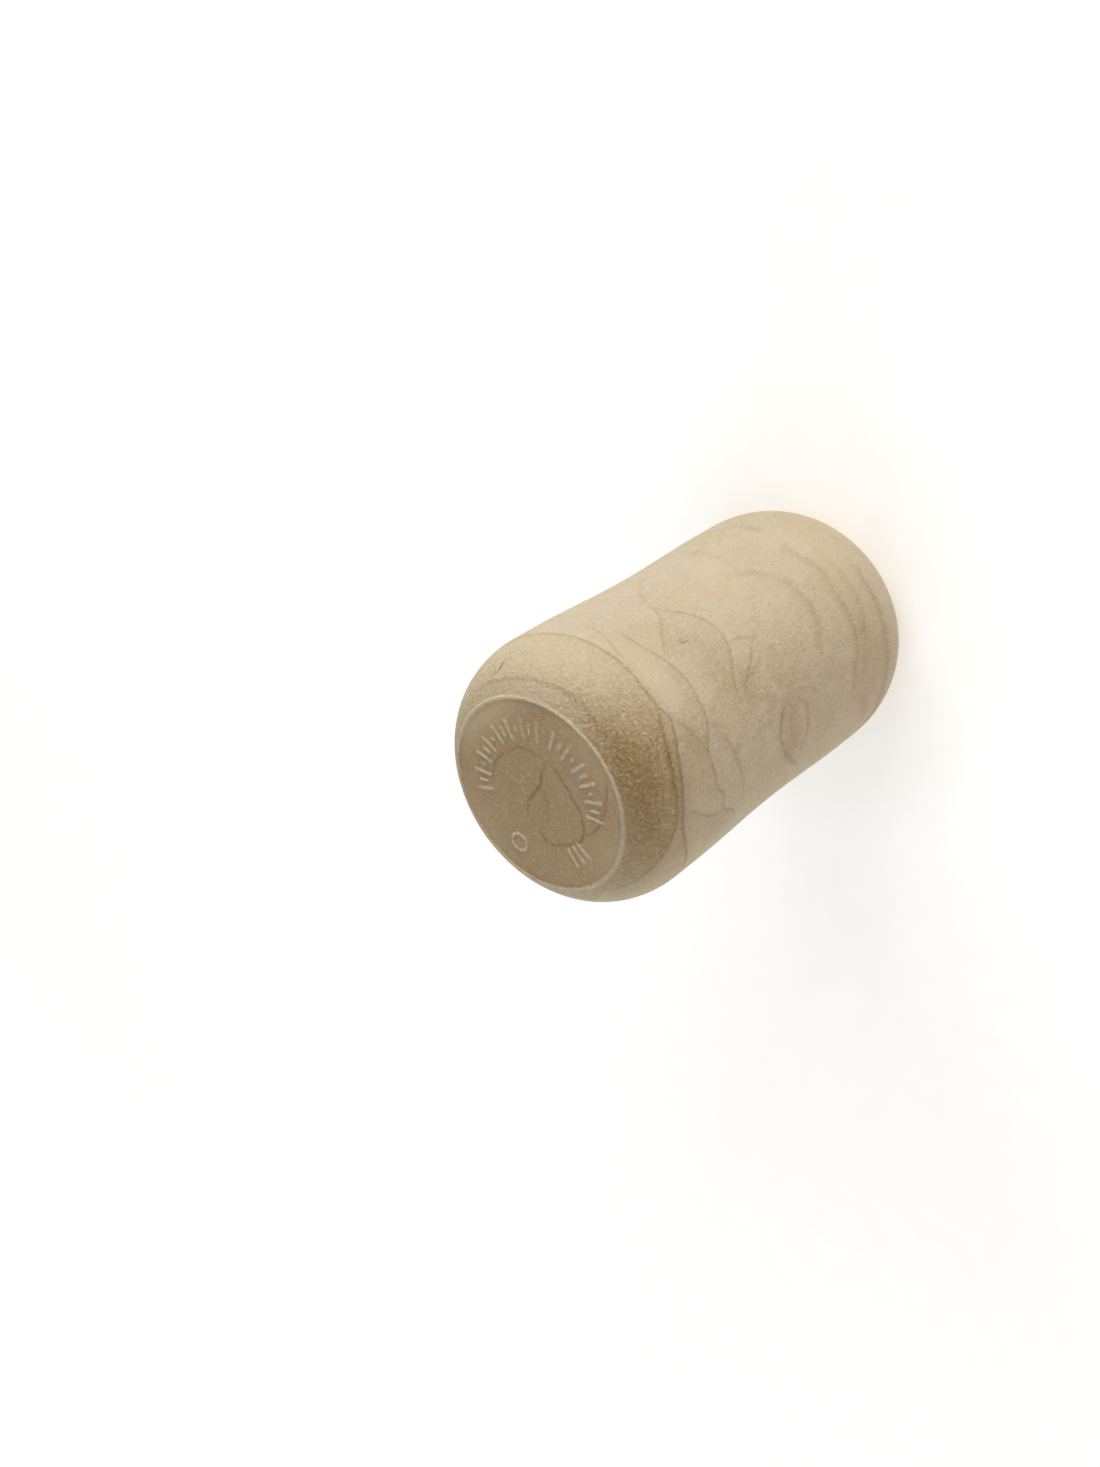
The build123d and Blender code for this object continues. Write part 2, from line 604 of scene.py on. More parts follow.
FLOW_LINES = (
    # fronts that closed round the disc end
    FlowLine(0, 0.85, FINE, ((-179, 0.75), (-168, 1.0), (-150, 2.0), (-131, 2.85),
                             (-110, 3.2), (-96, 3.7), (-85, 4.5)), lee=1),
    FlowLine(1, 0.85, FINE, ((-163, 5.2), (-150, 4.3), (-134, 3.4), (-115, 3.7), (-103, 4.2),
                             (-92, 4.9), (-85, 4.55), (-78, 4.6), (-60, 4.9), (-40, 4.9),
                             (-25, 4.75), (0, 4.6), (30, 4.75), (60, 4.9)), lee=1),
    FlowLine(0, 0.5, FINE, ((60, 4.9), (100, 4.4), (140, 2.9), (165, 1.3))),
    FlowLine(0, 0.45, FINE, ((-66, 5.0), (-58, 5.6), (-48, 6.4), (-38, 6.9))),
    FlowLine(0, 0.6, FINE, ((-84, 0.55), (-62, 0.9), (-40, 0.85), (-20, 0.75), (5, 0.7))),
    # cells below the shoulder
    FlowLine(2, 0.7, FINE, ((-127.5, 3.65), (-132, 5.0), (-137, 6.4), (-138.5, 8.1)), lee=-1),
    FlowLine(0, 0.62, FINE, ((-152, 10.6), (-144, 9.7), (-138.5, 8.2), (-132, 8.1),
                             (-127, 7.35), (-118, 7.1), (-110, 7.0), (-102, 7.9), (-95, 8.2),
                             (-84, 8.4), (-73, 8.1), (-62, 7.6), (-50, 7.5)), lee=1),
    FlowLine(2, 0.6, FINE, ((-110, 7.0), (-103, 6.3), (-96, 5.6), (-91.5, 4.9)), lee=1),
    FlowLine(1, 0.5, SOFT, ((-101, 8.0), (-108, 8.9), (-117, 9.7), (-127, 10.3),
                            (-140, 10.9))),
    FlowLine(1, 0.5, FINE, ((-73, 8.1), (-67, 9.0), (-61, 10.3), (-55, 11.6), (-50, 12.1),
                            (-43, 12.6)), lee=-1),
    FlowLine(0, 0.30, SOFT, ((-44, 12.5), (-37, 13.7), (-30, 15.5), (-19, 17.8))),
    FlowLine(2, 0.55, FINE, ((-51, 12.1), (-57, 13.4), (-66, 14.5), (-74, 14.7), (-82, 14.2),
                            (-90, 13.1), (-97, 12.35), (-105, 12.2)), lee=-1),
    FlowLine(0, 0.6, FINE, ((-100, 13.0), (-95, 14.2), (-90, 15.5), (-84.5, 16.9)), lee=-1),
    FlowLine(1, 0.6, FINE, ((-80, 14.4), (-80.5, 15.8), (-83, 16.9), (-84, 17.8))),
    FlowLine(0, 3.4, HAIR, ((-70.3, 11.35), (-70.1, 10.9), (-69.4, 10.65), (-68.5, 10.7),
                            (-68.1, 10.95))),
    FlowLine(1, 3.0, HAIR, ((-17.5, 2.3), (-15.0, 1.9), (-13.5, 1.4), (-9.5, 1.2))),
    # broad folds further down, deeper under the skin
    FlowLine(0, 0.7, SOFT, ((-152, 19.7), (-141, 17.5), (-133, 16.3), (-126, 15.9),
                            (-119, 16.3), (-113, 17.4), (-110.5, 18.2)), lee=-1),
    FlowLine(1, 0.5, SOFT, ((-146, 19.0), (-138, 19.5), (-130, 19.9), (-121, 19.8),
                            (-112.5, 18.4))),
    FlowLine(2, 0.38, DEEP, ((-104, 23.2), (-91, 24.5), (-80, 24.7), (-70, 24.2),
                             (-60, 22.9), (-52, 20.4)), lee=1),
    FlowLine(0, 0.42, DEEP, ((-134, 26.4), (-121, 26.7), (-112, 27.6), (-100, 28.0),
                            (-88, 27.9), (-76, 28.3), (-68, 28.0), (-60, 27.6),
                            (-55, 28.5)), lee=-1),
    FlowLine(1, 0.3, DEEP, ((-131, 27.5), (-120, 28.3), (-110, 28.9), (-101, 29.7),
                            (-85, 30.1), (-62, 29.9))),
    FlowLine(2, 0.35, DEEP, ((-153, 29.7), (-143, 28.9), (-135, 27.5), (-131, 26.9)), lee=-1),
    FlowLine(0, 0.5, DEEP, ((-166, 31.3), (-140, 31.8), (-120, 31.9), (-100, 32.1),
                            (-78, 31.9)), lee=1),
    FlowLine(1, 0.18, DEEP, ((-52, 22.4), (-40, 22.7), (-30, 22.6), (-20, 23.2))),
    FlowLine(2, 0.2, DEEP, ((-48, 28.6), (-38, 28.9), (-30, 29.4))),
    # the far side
    FlowLine(0, 0.6, SOFT, ((-18, 30.2), (12, 29.4), (40, 29.2), (58, 29.6), (72, 30.5),
                            (86, 31.2), (100, 29.8), (116, 29.0), (134, 29.3), (150, 30.4)),
             lee=1),
    FlowLine(1, 0.6, FINE, ((63, 29.6), (68, 27.0), (74, 24.0), (81, 21.6)), lee=-1),
    FlowLine(1, 0.5, FINE, ((96, 29.2), (102, 28.0), (108, 27.0))),
    FlowLine(2, 0.7, FINE, ((2, 25.2), (14, 23.9), (30, 23.3), (44, 23.6), (52, 22.2), (62, 21.2),
                            (74, 21.2), (81, 21.7), (92, 19.7), (106, 18.5), (120, 19.4)),
             lee=1),
    FlowLine(1, 0.5, FINE, ((115, 19.9), (122, 18.9))),
    FlowLine(0, 0.5, SOFT, ((56, 18.6), (63, 16.8), (73, 14.5), (79, 11.5)), lee=1),
    FlowLine(1, 0.45, SOFT, ((6, 16.2), (18, 15.0), (32, 14.7), (46, 15.6)), lee=1),
    FlowLine(2, 0.5, SOFT, ((18, 6.8), (46, 7.8), (60, 10.2), (79, 11.6), (96, 10.9),
                            (112, 11.9)), lee=1),
    FlowLine(1, 0.5, SOFT, ((46, 7.8), (63, 6.6), (76, 5.6), (96, 5.6))),
    FlowLine(2, 0.5, SOFT, ((128, 24.6), (140, 22.4), (152, 21.4), (164, 20.6),
                            (176, 20.9), (190, 22.6)), lee=-1),
    FlowLine(1, 0.4, FINE, ((152, 21.5), (155, 23.4), (157, 25.4), (163, 27.6))),
    FlowLine(1, 0.5, SOFT, ((124, 11.8), (134, 13.0), (148, 14.2), (164, 14.6), (178, 13.6),
                            (192, 11.2)), lee=1),
    FlowLine(0, 0.5, SOFT, ((150, 14.2), (156, 11.4), (160, 8.6), (168, 6.6), (178, 5.4)),
             lee=-1),
    FlowLine(0, 0.4, DEEP, ((126, 33.4), (150, 32.6), (176, 32.0), (196, 31.5)), lee=1),
    # the disc
    FlowLine(0, 0.9, FINE, ((2.9, 3.3), (3.55, 2.4), (3.85, 1.2), (3.85, 0.0), (3.55, -1.3),
                             (2.7, -2.15), (1.7, -2.75)), Face.DISC),
    FlowLine(1, 1.0, FINE, ((1.7, -2.75), (1.3, -3.05), (0.3, -3.15), (-1.4, -3.0),
                             (-2.7, -2.8), (-3.5, -2.4), (-4.2, -1.8), (-4.4, -1.2),
                             (-4.3, -0.2), (-4.0, 0.9), (-3.65, 1.75), (-3.0, 2.05),
                             (-2.3, 1.95), (-2.1, 1.5)), Face.DISC),
    FlowLine(2, 1.1, FINE, ((1.7, -2.75), (1.25, -1.7), (0.6, -0.85), (0.25, 0.2),
                             (0.0, 1.2), (-0.65, 1.95), (-1.5, 2.15)), Face.DISC),
    FlowLine(0, 0.9, FINE, ((0.55, -0.8), (-0.2, -0.75), (-1.0, -0.3), (-1.7, 0.3)),
             Face.DISC),
    FlowLine(0, 0.5, FINE, ((1.45, -3.05), (1.0, -3.5)), Face.DISC),
    FlowLine(2, 0.85, FINE, ((-4.25, -2.0), (-4.3, -2.8), (-4.0, -4.0), (-3.2, -5.4),
                             (-2.0, -6.7), (-1.2, -7.2)), Face.DISC),
)


DISC_REACH = 1.0                    # places inside the lip this far down still count as disc


@dataclass(frozen=True)
class Patch:
    """A soft-edged area where the foam is a little denser, pinker or more drawn out, or where
    shade or light is painted into the skin's colour.

    Its middle is given as a flow line's points are, its size in millimetres across and along.
    """

    middle: tuple[float, float]
    size: tuple[float, float]
    deep: float = 0.0               # share of the melt's darker colour, below zero for paler; painted shade or painted light in some patches
    blush: float = 0.0              # share of pink grey
    drawn: float = 0.0              # how clearly the foam's fibres show
    face: Face = Face.SIDE

    def weight(self, outline: Outline, places: np.ndarray) -> np.ndarray:
        """Weigh how much each place belongs to the patch.

        Args:
            outline: the form that the patch lies on.
            places: the places, one a row.

        Returns:
            Shares from 0 to 1.
        """
        radius = np.hypot(places[:, 0], places[:, 1])
        below = outline.disc_z - places[:, 2]
        on_disc = (radius < outline.disc_radius) & (below < DISC_REACH)
        if self.face is Face.DISC:
            across, along = places[:, 0] - self.middle[0], places[:, 1] - self.middle[1]
            here = on_disc
        else:
            turn = np.degrees(np.arctan2(places[:, 1], places[:, 0])) - self.middle[0]
            across = np.radians((turn + 180) % 360 - 180) * outline.band_radius
            along = below - self.middle[1]
            here = ~on_disc
        reach = (across / self.size[0]) ** 2 + (along / self.size[1]) ** 2
        return here * np.exp(-reach)


PATCHES = (
    # mostly painted shade: a darker, browner shoulder on the side facing the camera, here and in
    # the next two patches
    Patch((-116, 0.9), (9.5, 1.8), deep=0.64),
    Patch((-88, 0.7), (5.0, 1.0), deep=0.14),
    Patch((-96, 2.9), (5.0, 2.1), deep=0.33),
    Patch((-112, 3.5), (5.5, 0.45), deep=0.05, blush=0.20),
    Patch((-32, 2.2), (8.5, 2.6), deep=-0.34),
    Patch((-108, 15.5), (3.6, 8.5), deep=0.15, drawn=1.0),
    Patch((-107, 6.0), (3.2, 1.5), deep=0.28),
    Patch((-85, 19.0), (5.0, 6.0), drawn=0.6),
    Patch((-78, 6.3), (3.6, 1.2), deep=-0.30),
    Patch((-78, 11.8), (2.6, 1.6), deep=0.16),
    Patch((-58, 20.5), (4.0, 4.5), deep=-0.16),
    Patch((-118, 29.4), (6.0, 1.6), blush=0.20),
    Patch((-72, 29.6), (4.5, 2.0), deep=-0.26),
    Patch((-140, 29.0), (4.0, 2.5), deep=-0.15, blush=0.20),
    Patch((-129, 18.0), (2.6, 1.3), deep=0.16, blush=0.20),
    Patch((-97, 13.7), (1.4, 1.1), deep=0.10, blush=0.20),
    Patch((-146, 8.0), (1.4, 2.0), blush=0.35),
    Patch((-92, 9.1), (0.9, 0.8), deep=-0.30),
    Patch((-29, 23.2), (0.5, 0.8), deep=0.22),
    Patch((-36, 28.9), (1.5, 0.5), deep=0.16),
    Patch((60, 24.6), (3.0, 4.0), deep=0.16, drawn=0.5),
    Patch((100, 23.5), (4.0, 3.5), deep=-0.12),
    Patch((30, 18.5), (4.0, 3.0), deep=-0.12),
    Patch((90, 8.5), (6.0, 1.8), deep=0.16, blush=0.15),
    Patch((155, 18.0), (3.5, 7.0), deep=0.16, drawn=0.8),
    Patch((20, 33.0), (8.0, 2.0), blush=0.25),
    # painted light: paler where the lip shades the edge of the disc
    Patch((7.5, 0.5), (1.4, 6.0), deep=-1.4, face=Face.DISC),
    Patch((-6.4, -3.4), (1.5, 3.0), deep=-0.35, face=Face.DISC),
    Patch((0.0, 7.2), (4.5, 1.2), deep=-0.30, face=Face.DISC),
    Patch((2.0, -7.0), (5.0, 1.2), deep=-0.40, face=Face.DISC),
    Patch((0.3, 0.2), (3.2, 2.6), deep=0.12, face=Face.DISC),
)


@dataclass
class SeamTracks:
    """How each vertex lies to the nearest seam on each track.

    The distance aside is signed and counted in the seam's own half widths, so it runs through
    zero at the seam's middle and stays sharp between vertices.
    """

    outline: Outline
    places: np.ndarray              # the skin's vertices
    tracks: int = 3
    far: float = 9.0                # distance that stands for no seam near
    least_reach: float = 0.9        # a seam is stored out to this distance at least
    reach_widths: float = 2.6       # and out to this many of its half widths
    fade_start: float = 0.55        # share of the reach from which it fades
    taper: float = 1.5              # a seam thins out over this length at its ends
    thinnest: float = 0.25          # down to this share of its strength
    stop: float = 0.25              # and is gone this far past them
    lee_reach: tuple[float, float] = (2.2, 3.2)     # the tone beside a seam ends between these
    lee_stop: float = 0.9           # and is gone this far past the seam's ends
    shade_fall: float = 0.95        # how fast the deeper tone fades from the seam
    shade_edge: tuple[float, float] = (-0.10, 0.10)
    glow: float = 0.45              # paler tone on the other side of the seam
    glow_fall: float = 0.55
    glow_edge: tuple[float, float] = (0.05, -0.25)
    lee_limits: tuple[float, float] = (-0.6, 1.2)
    batch: int = 4000               # vertices measured at a time, to spare memory

    def __post_init__(self) -> None:
        """Start with no seam near any vertex."""
        shape = (len(self.places), self.tracks)
        self.aside = np.full(shape, self.far)
        self.show = np.zeros(shape)
        self.nearest = np.full(shape, self.far)
        self.lee = np.zeros(len(self.places))

    def lee_tone(self, line: FlowLine, near: Near, taper: np.ndarray) -> np.ndarray:
        """Tone that the seam gives the fronts beside it.

        Args:
            line: the seam.
            near: how the vertices lie to it.
            taper: how far the seam thins out by each vertex.

        Returns:
            Shares of the melt's colour, deeper on the lee side and paler on the other.
        """
        side = line.lee * near.offset
        past = smooth(0.0, self.lee_stop, near.beyond)
        shade = np.exp(-near.distance / self.shade_fall) * smooth(*self.shade_edge, side)
        glow = self.glow * np.exp(-near.distance / self.glow_fall) * smooth(*self.glow_edge, side)
        close = (1 - smooth(*self.lee_reach, near.distance)) * (1 - past) * taper
        return (shade - glow) * close * line.show

    def draw(self, line: FlowLine) -> None:
        """Add one seam to its track.

        Args:
            line: the seam.
        """
        route = line.route(self.outline)
        reach = max(self.least_reach, self.reach_widths * line.half_width)
        wide = self.lee_reach[1] if line.lee else reach
        low, high = route.points.min(0) - wide, route.points.max(0) + wide
        chosen = np.flatnonzero(np.all((self.places > low) & (self.places < high), 1))
        for part in np.array_split(chosen, max(1, len(chosen) // self.batch)):
            near = route.near(self.places[part])
            taper = self.thinnest + (1 - self.thinnest) * smooth(0.0, self.taper, near.from_end)
            past = smooth(0.0, self.stop, near.beyond)
            fade = 1 - smooth(self.fade_start * reach, reach, near.distance)
            fade = fade * (1 - past) * taper
            closer = near.distance < self.nearest[part, line.track]
            rows = part[closer]
            self.nearest[rows, line.track] = near.distance[closer]
            self.aside[rows, line.track] = near.offset[closer] / line.half_width
            self.show[rows, line.track] = fade[closer] * line.show
            if line.lee:
                self.lee[part] += self.lee_tone(line, near, taper)

    def store(self, mesh: bpy.types.Mesh) -> None:
        """Keep the tracks on the mesh.

        Args:
            mesh: the skin's mesh.
        """
        keep(mesh, "seam_aside", self.aside)
        keep(mesh, "seam_show", self.show)
        keep(mesh, "seam_lee", np.clip(self.lee, *self.lee_limits))


@dataclass(frozen=True)
class BakeLayout:
    """Flat, even layout: side and shoulders unrolled, both ends face on above them."""

    outline: Outline
    gap: float = 0.6                # between the islands
    slack: float = 0.002            # a face within this of an end's radius isn't on the end

    def unrolled(self, height: np.ndarray) -> tuple[np.ndarray, float]:
        """How far along the section each height of the side and shoulders lies.

        Args:
            height: heights on the cork.

        Returns:
            Lengths up from the seat's edge, and the length of the whole section.
        """
        rows = np.vstack([self.outline.lip()[-1:], self.outline.disc_shoulder(),
                          self.outline.side(), self.outline.foot_shoulder()])
        run = run_along(rows)
        return run[-1] - np.interp(-height, -rows[:, 1], run), run[-1]

    def store(self, mesh: bpy.types.Mesh, places: np.ndarray) -> None:
        """Write the layout down.

        Args:
            mesh: the skin's mesh.
            places: its vertices.
        """
        corner_vertex = np.empty(len(mesh.loops), np.int32)
        mesh.loops.foreach_get("vertex_index", corner_vertex)
        starts = np.empty(len(mesh.polygons), np.int32)
        mesh.polygons.foreach_get("loop_start", starts)
        totals = np.empty(len(mesh.polygons), np.int32)
        mesh.polygons.foreach_get("loop_total", totals)
        face_of = np.repeat(np.arange(len(starts)), totals)
        corner = places[corner_vertex]

        def middle(values: np.ndarray) -> np.ndarray:
            """Mean over each face, given back to its corners."""
            return (np.bincount(face_of, values) / totals)[face_of]

        # faces that straddle azimuth zero stay whole
        azimuth = np.degrees(np.arctan2(corner[:, 1], corner[:, 0])) % 360
        highest = np.maximum.reduceat(azimuth, starts)[face_of]
        azimuth = np.where((highest > 270) & (azimuth < 90), azimuth + 360, azimuth)

        disc = self.outline.disc_radius
        seat = self.outline.seat_edge
        upper = middle(corner[:, 2]) > self.outline.length / 2
        face_radius = middle(np.hypot(corner[:, 0], corner[:, 1]))
        on_disc = (face_radius < disc - self.slack) & upper
        on_seat = (face_radius < seat + self.slack) & ~upper

        round_length = 2 * math.pi * self.outline.band_radius
        across = azimuth / 360 * round_length
        up, section = self.unrolled(corner[:, 2])
        top_row = section + self.gap
        across = np.where(on_disc, corner[:, 0] + disc + self.gap, across)
        up = np.where(on_disc, corner[:, 1] + disc + top_row, up)
        across = np.where(on_seat, corner[:, 0] + 2 * disc + seat + 3 * self.gap, across)
        up = np.where(on_seat, corner[:, 1] + seat + top_row, up)
        span = max(round_length, top_row + 2 * disc) + 2 * self.gap

        layout = mesh.uv_layers.new(name=BAKE_MAP)
        both = np.column_stack([across + self.gap, up + self.gap]) / span
        layout.data.foreach_set("uv", both.astype(np.float32).ravel())
        mesh.uv_layers.active = layout


TURNING_INPUTS = (
    ("Profile", "NodeSocketGeometry"), ("Columns", "NodeSocketInt"),
    ("Mark lines", "NodeSocketObject"), ("Mark height", "NodeSocketFloat"),
    ("Mark half width", "NodeSocketFloat"), ("Sink depth", "NodeSocketFloat"),
    ("Sink size", "NodeSocketFloat"), ("Grain depth", "NodeSocketFloat"),
    ("Grain size", "NodeSocketFloat"), ("Grain top", "NodeSocketFloat"),
    ("Grain foot", "NodeSocketFloat"), ("Seat top", "NodeSocketFloat"),
    ("Seed", "NodeSocketFloat"),
)


@dataclass
class TurningTree:
    """Node tree that turns a profile round the axis and shapes the surface it makes."""

    merge: float = 0.0005           # ends of the rolled-up grid closer than this are joined
    mark_flat: float = 0.25         # share of a mark's half width that is flat on top
    sink_detail: float = 2.0        # finer layers of each noise
    grain_detail: float = 1.0

    def __post_init__(self) -> None:
        """Open the tree, with every size as a named input."""
        self.tree = bpy.data.node_groups.new("turned_skin", "GeometryNodeTree")
        for name, kind in TURNING_INPUTS:
            self.tree.interface.new_socket(name, in_out="INPUT", socket_type=kind)
        self.tree.interface.new_socket("Skin", in_out="OUTPUT", socket_type="NodeSocketGeometry")
        self.given = self.tree.nodes.new("NodeGroupInput").outputs
        self.wiring = Wiring(self.tree)

    def position(self) -> Socket:
        """Places on whatever mesh asks for them."""
        return add(self.tree, "GeometryNodeInputPosition").outputs[0]

    def turned(self) -> Socket:
        """Roll a flat grid up: its X counts the profile's points, its Y goes once round.

        Returns:
            The closed surface.
        """
        calc, given = self.wiring.calc, self.given
        rows = add(self.tree, "GeometryNodeAttributeDomainSize",
                   {0: given["Profile"]}).outputs[0]
        grid = add(self.tree, "GeometryNodeMeshGrid", {
            "Size X": 1.0, "Size Y": 1.0, "Vertices X": rows,
            "Vertices Y": calc("ADD", given["Columns"], 1.0),
        }).outputs[0]
        across, around, _ = self.wiring.parts(self.position())
        last_row = calc("SUBTRACT", rows, 1.0)
        row = calc("ROUND", calc("MULTIPLY", calc("ADD", across, 0.5), last_row))
        angle = calc("MULTIPLY", calc("ADD", around, 0.5), 2 * math.pi)
        sampled = add(self.tree, "GeometryNodeSampleIndex", {
            "Geometry": given["Profile"], "Value": self.position(), "Index": row,
        }, data_type="FLOAT_VECTOR").outputs[0]
        rolled = add(self.tree, "ShaderNodeVectorRotate", {
            "Vector": sampled, "Axis": (0, 0, 1), "Angle": angle,
        }, rotation_type="AXIS_ANGLE").outputs[0]
        skin = add(self.tree, "GeometryNodeSetPosition", {
            "Geometry": grid, "Position": rolled,
        }).outputs[0]
        return add(self.tree, "GeometryNodeMergeByDistance", {
            "Geometry": skin, "Distance": self.merge * MM,
        }).outputs[0]

    def unevenness(self, size: str, detail: float) -> Socket:
        """Noise over the surface, in a pattern that the seed picks.

        Args:
            size: the name of the input that says how far across its features are.
            detail: how many finer layers it has.

        Returns:
            The noise, from 0 to 1.
        """
        return add(self.tree, "ShaderNodeTexNoise", {
            "Vector": self.position(), "W": self.given["Seed"],
            "Scale": self.wiring.calc("DIVIDE", 1.0, self.given[size]), "Detail": detail,
        }, noise_dimensions="4D").outputs[0]

    def sinks(self) -> Socket:
        """Broad sinks, always inwards, which leave the seat flat, and the shoulder's grain.

        Returns:
            Height of the surface, zero or below.
        """
        calc, given = self.wiring.calc, self.given
        level = self.wiring.parts(self.position())[2]
        off_seat = self.wiring.ease(level, 0.0, given["Seat top"])
        sinks = calc("MULTIPLY", self.unevenness("Sink size", self.sink_detail), off_seat)
        height = calc("MULTIPLY", calc("MULTIPLY", sinks, given["Sink depth"]), -1.0)
        rises = self.wiring.ease(level, given["Grain foot"], given["Grain top"])
        zone = calc("MULTIPLY", rises, calc("LESS_THAN", level, given["Grain top"]))
        grain = self.unevenness("Grain size", self.grain_detail)
        grain = calc("MULTIPLY", calc("MULTIPLY", grain, given["Grain depth"]), zone)
        return calc("SUBTRACT", height, grain)

    def marks(self) -> Socket:
        """Strokes that rise along the marks' centre lines.

        Returns:
            One on a stroke's flat top, easing to zero at its foot.
        """
        lines = add(self.tree, "GeometryNodeObjectInfo", {
            "Object": self.given["Mark lines"],
        }, transform_space="ORIGINAL").outputs["Geometry"]
        near = add(self.tree, "GeometryNodeProximity", {0: lines}, target_element="EDGES")
        foot = self.given["Mark half width"]
        flat = self.wiring.calc("MULTIPLY", foot, self.mark_flat)
        return self.wiring.ease(near.outputs["Distance"], foot, flat)

    def build(self, finish: bpy.types.Material) -> bpy.types.NodeTree:
        """Wire the whole tree.

        Args:
            finish: the material that the tree sets.

        Returns:
            The tree.
        """
        calc = self.wiring.calc
        raised = self.marks()
        skin = add(self.tree, "GeometryNodeStoreNamedAttribute", {
            "Geometry": self.turned(), "Name": "mark_crest", "Value": raised,
        }).outputs[0]
        height = calc("ADD", self.sinks(), calc("MULTIPLY", raised, self.given["Mark height"]))
        push = add(self.tree, "ShaderNodeVectorMath", {
            0: add(self.tree, "GeometryNodeInputNormal").outputs[0], "Scale": height,
        }, operation="SCALE").outputs[0]
        skin = add(self.tree, "GeometryNodeSetPosition", {"Geometry": skin, "Offset": push})
        skin = add(self.tree, "GeometryNodeSetShadeSmooth", {0: skin.outputs[0]})
        skin = add(self.tree, "GeometryNodeRealizeInstances", {0: skin.outputs[0]})
        skin = add(self.tree, "GeometryNodeSetMaterial", {
            "Geometry": skin.outputs[0], "Material": finish,
        })
        add(self.tree, "NodeGroupOutput", {0: skin.outputs[0]})
        return self.tree


@dataclass
class CorkSkin:
    """The cork's visible skin: the outline turned round the axis, with its marks and seams."""

    outline: Outline = field(default_factory=Outline)
    marks: DiscMarks = field(default_factory=DiscMarks)
    columns: int = 320
    sink_depth: float = 0.05        # broad unevenness of the moulded foam
    sink_size: float = 9.0
    seat_top: float = 1.2           # height over which the sinks set in
    grain_depth: float = 0.022      # sugary grain of the disc end's shoulder
    grain_size: float = 0.60
    grain_top: float = 0.15         # the grain's zone, below the disc
    grain_foot: float = 4.6
    seed: float = 4.0

    def profile(self) -> bpy.types.Object:
        """Draw the outline as a chain of edges, which the node tree turns round the axis.

        Returns:
            The piece, still flat.
        """
        mesh = bpy.data.meshes.new("cork_skin")
        verts = [(r * MM, 0.0, z * MM) for r, z in self.outline.points()]
        mesh.from_pydata(verts, [(i, i + 1) for i in range(len(verts) - 1)], [])
        return place_in_scene("cork_skin", mesh)

    def turn(self, piece: bpy.types.Object, finish: bpy.types.Material) -> None:
        """Turn the profile into the skin and make that the piece's plain mesh.

        Args:
            piece: the flat profile.
            finish: the material of the whole cork.
        """
        helper = self.marks.build(self.outline.disc_z)
        tree = TurningTree().build(finish)
        turning = piece.modifiers.new("turning", "NODES")
        turning.node_group = tree
        values = {
            "Columns": self.columns, "Mark lines": helper,
            "Mark height": self.marks.height * MM, "Mark half width": self.marks.width / 2 * MM,
            "Sink depth": self.sink_depth * MM, "Sink size": self.sink_size * MM,
            "Grain depth": self.grain_depth * MM, "Grain size": self.grain_size * MM,
            "Grain top": (self.outline.disc_z - self.grain_top) * MM,
            "Grain foot": (self.outline.disc_z - self.grain_foot) * MM,
            "Seat top": self.seat_top * MM, "Seed": self.seed,
        }
        for item in tree.interface.items_tree:
            if item.in_out == "INPUT" and item.name in values:
                turning[item.identifier] = values[item.name]
        bpy.context.view_layer.update()
        graph = bpy.context.evaluated_depsgraph_get()
        mesh = bpy.data.meshes.new_from_object(piece.evaluated_get(graph))
        piece.modifiers.clear()
        piece.data = mesh
        bpy.data.objects.remove(helper)

    def places(self, mesh: bpy.types.Mesh) -> np.ndarray:
        """Read where the vertices are.

        Args:
            mesh: the skin's mesh.

        Returns:
            Every vertex's place, one a row.
        """
        flat = np.empty(len(mesh.vertices) * 3, np.float32)
        mesh.vertices.foreach_get("co", flat)
        return flat.reshape(-1, 3).astype(float) / MM

    def store_flow(self, mesh: bpy.types.Mesh, places: np.ndarray) -> None:
        """Store how each vertex lies to the seams.

        Args:
            mesh: the skin's mesh.
            places: its vertices.
        """
        tracks = SeamTracks(self.outline, places)
        for line in FLOW_LINES:
            tracks.draw(line)
        tracks.store(mesh)

    def store_patches(self, mesh: bpy.types.Mesh, places: np.ndarray) -> None:
        """Store how deep, how pink and how drawn out the foam is at each vertex, with the shade
        and light that some patches paint.

        Args:
            mesh: the skin's mesh.
            places: its vertices.
        """
        tone = np.zeros((len(places), 3))
        for patch in PATCHES:
            share = patch.weight(self.outline, places)
            tone += share[:, None] * (patch.deep, patch.blush, patch.drawn)
        keep(mesh, "foam_tone_and_painted_light", tone)

    def store_grain_edge(self, mesh: bpy.types.Mesh, places: np.ndarray) -> None:
        """Store how far each vertex lies above the edge of the grainy shoulder.

        Args:
            mesh: the skin's mesh.
            places: its vertices.
        """
        edge = np.array(GRAIN_EDGE, float)
        closed = catmull_rom(np.vstack([edge, edge[:1] + (360, 0)]))
        azimuth = np.degrees(np.arctan2(places[:, 1], places[:, 0]))
        drop = np.interp(azimuth, closed[:, 0], closed[:, 1])
        keep(mesh, "grain_edge", places[:, 2] - (self.outline.disc_z - drop))

    def build(self, finish: bpy.types.Material) -> bpy.types.Object:
        """Make the skin as a plain mesh.

        Args:
            finish: the material of the whole cork.

        Returns:
            The piece, at the origin, with its attributes and bake layout.
        """
        piece = self.profile()
        self.turn(piece, finish)
        places = self.places(piece.data)
        self.store_flow(piece.data, places)
        self.store_patches(piece.data, places)
        self.store_grain_edge(piece.data, places)
        BakeLayout(self.outline).store(piece.data, places)
        return piece


# ---- finish ---------------------------------------------------------------------------------


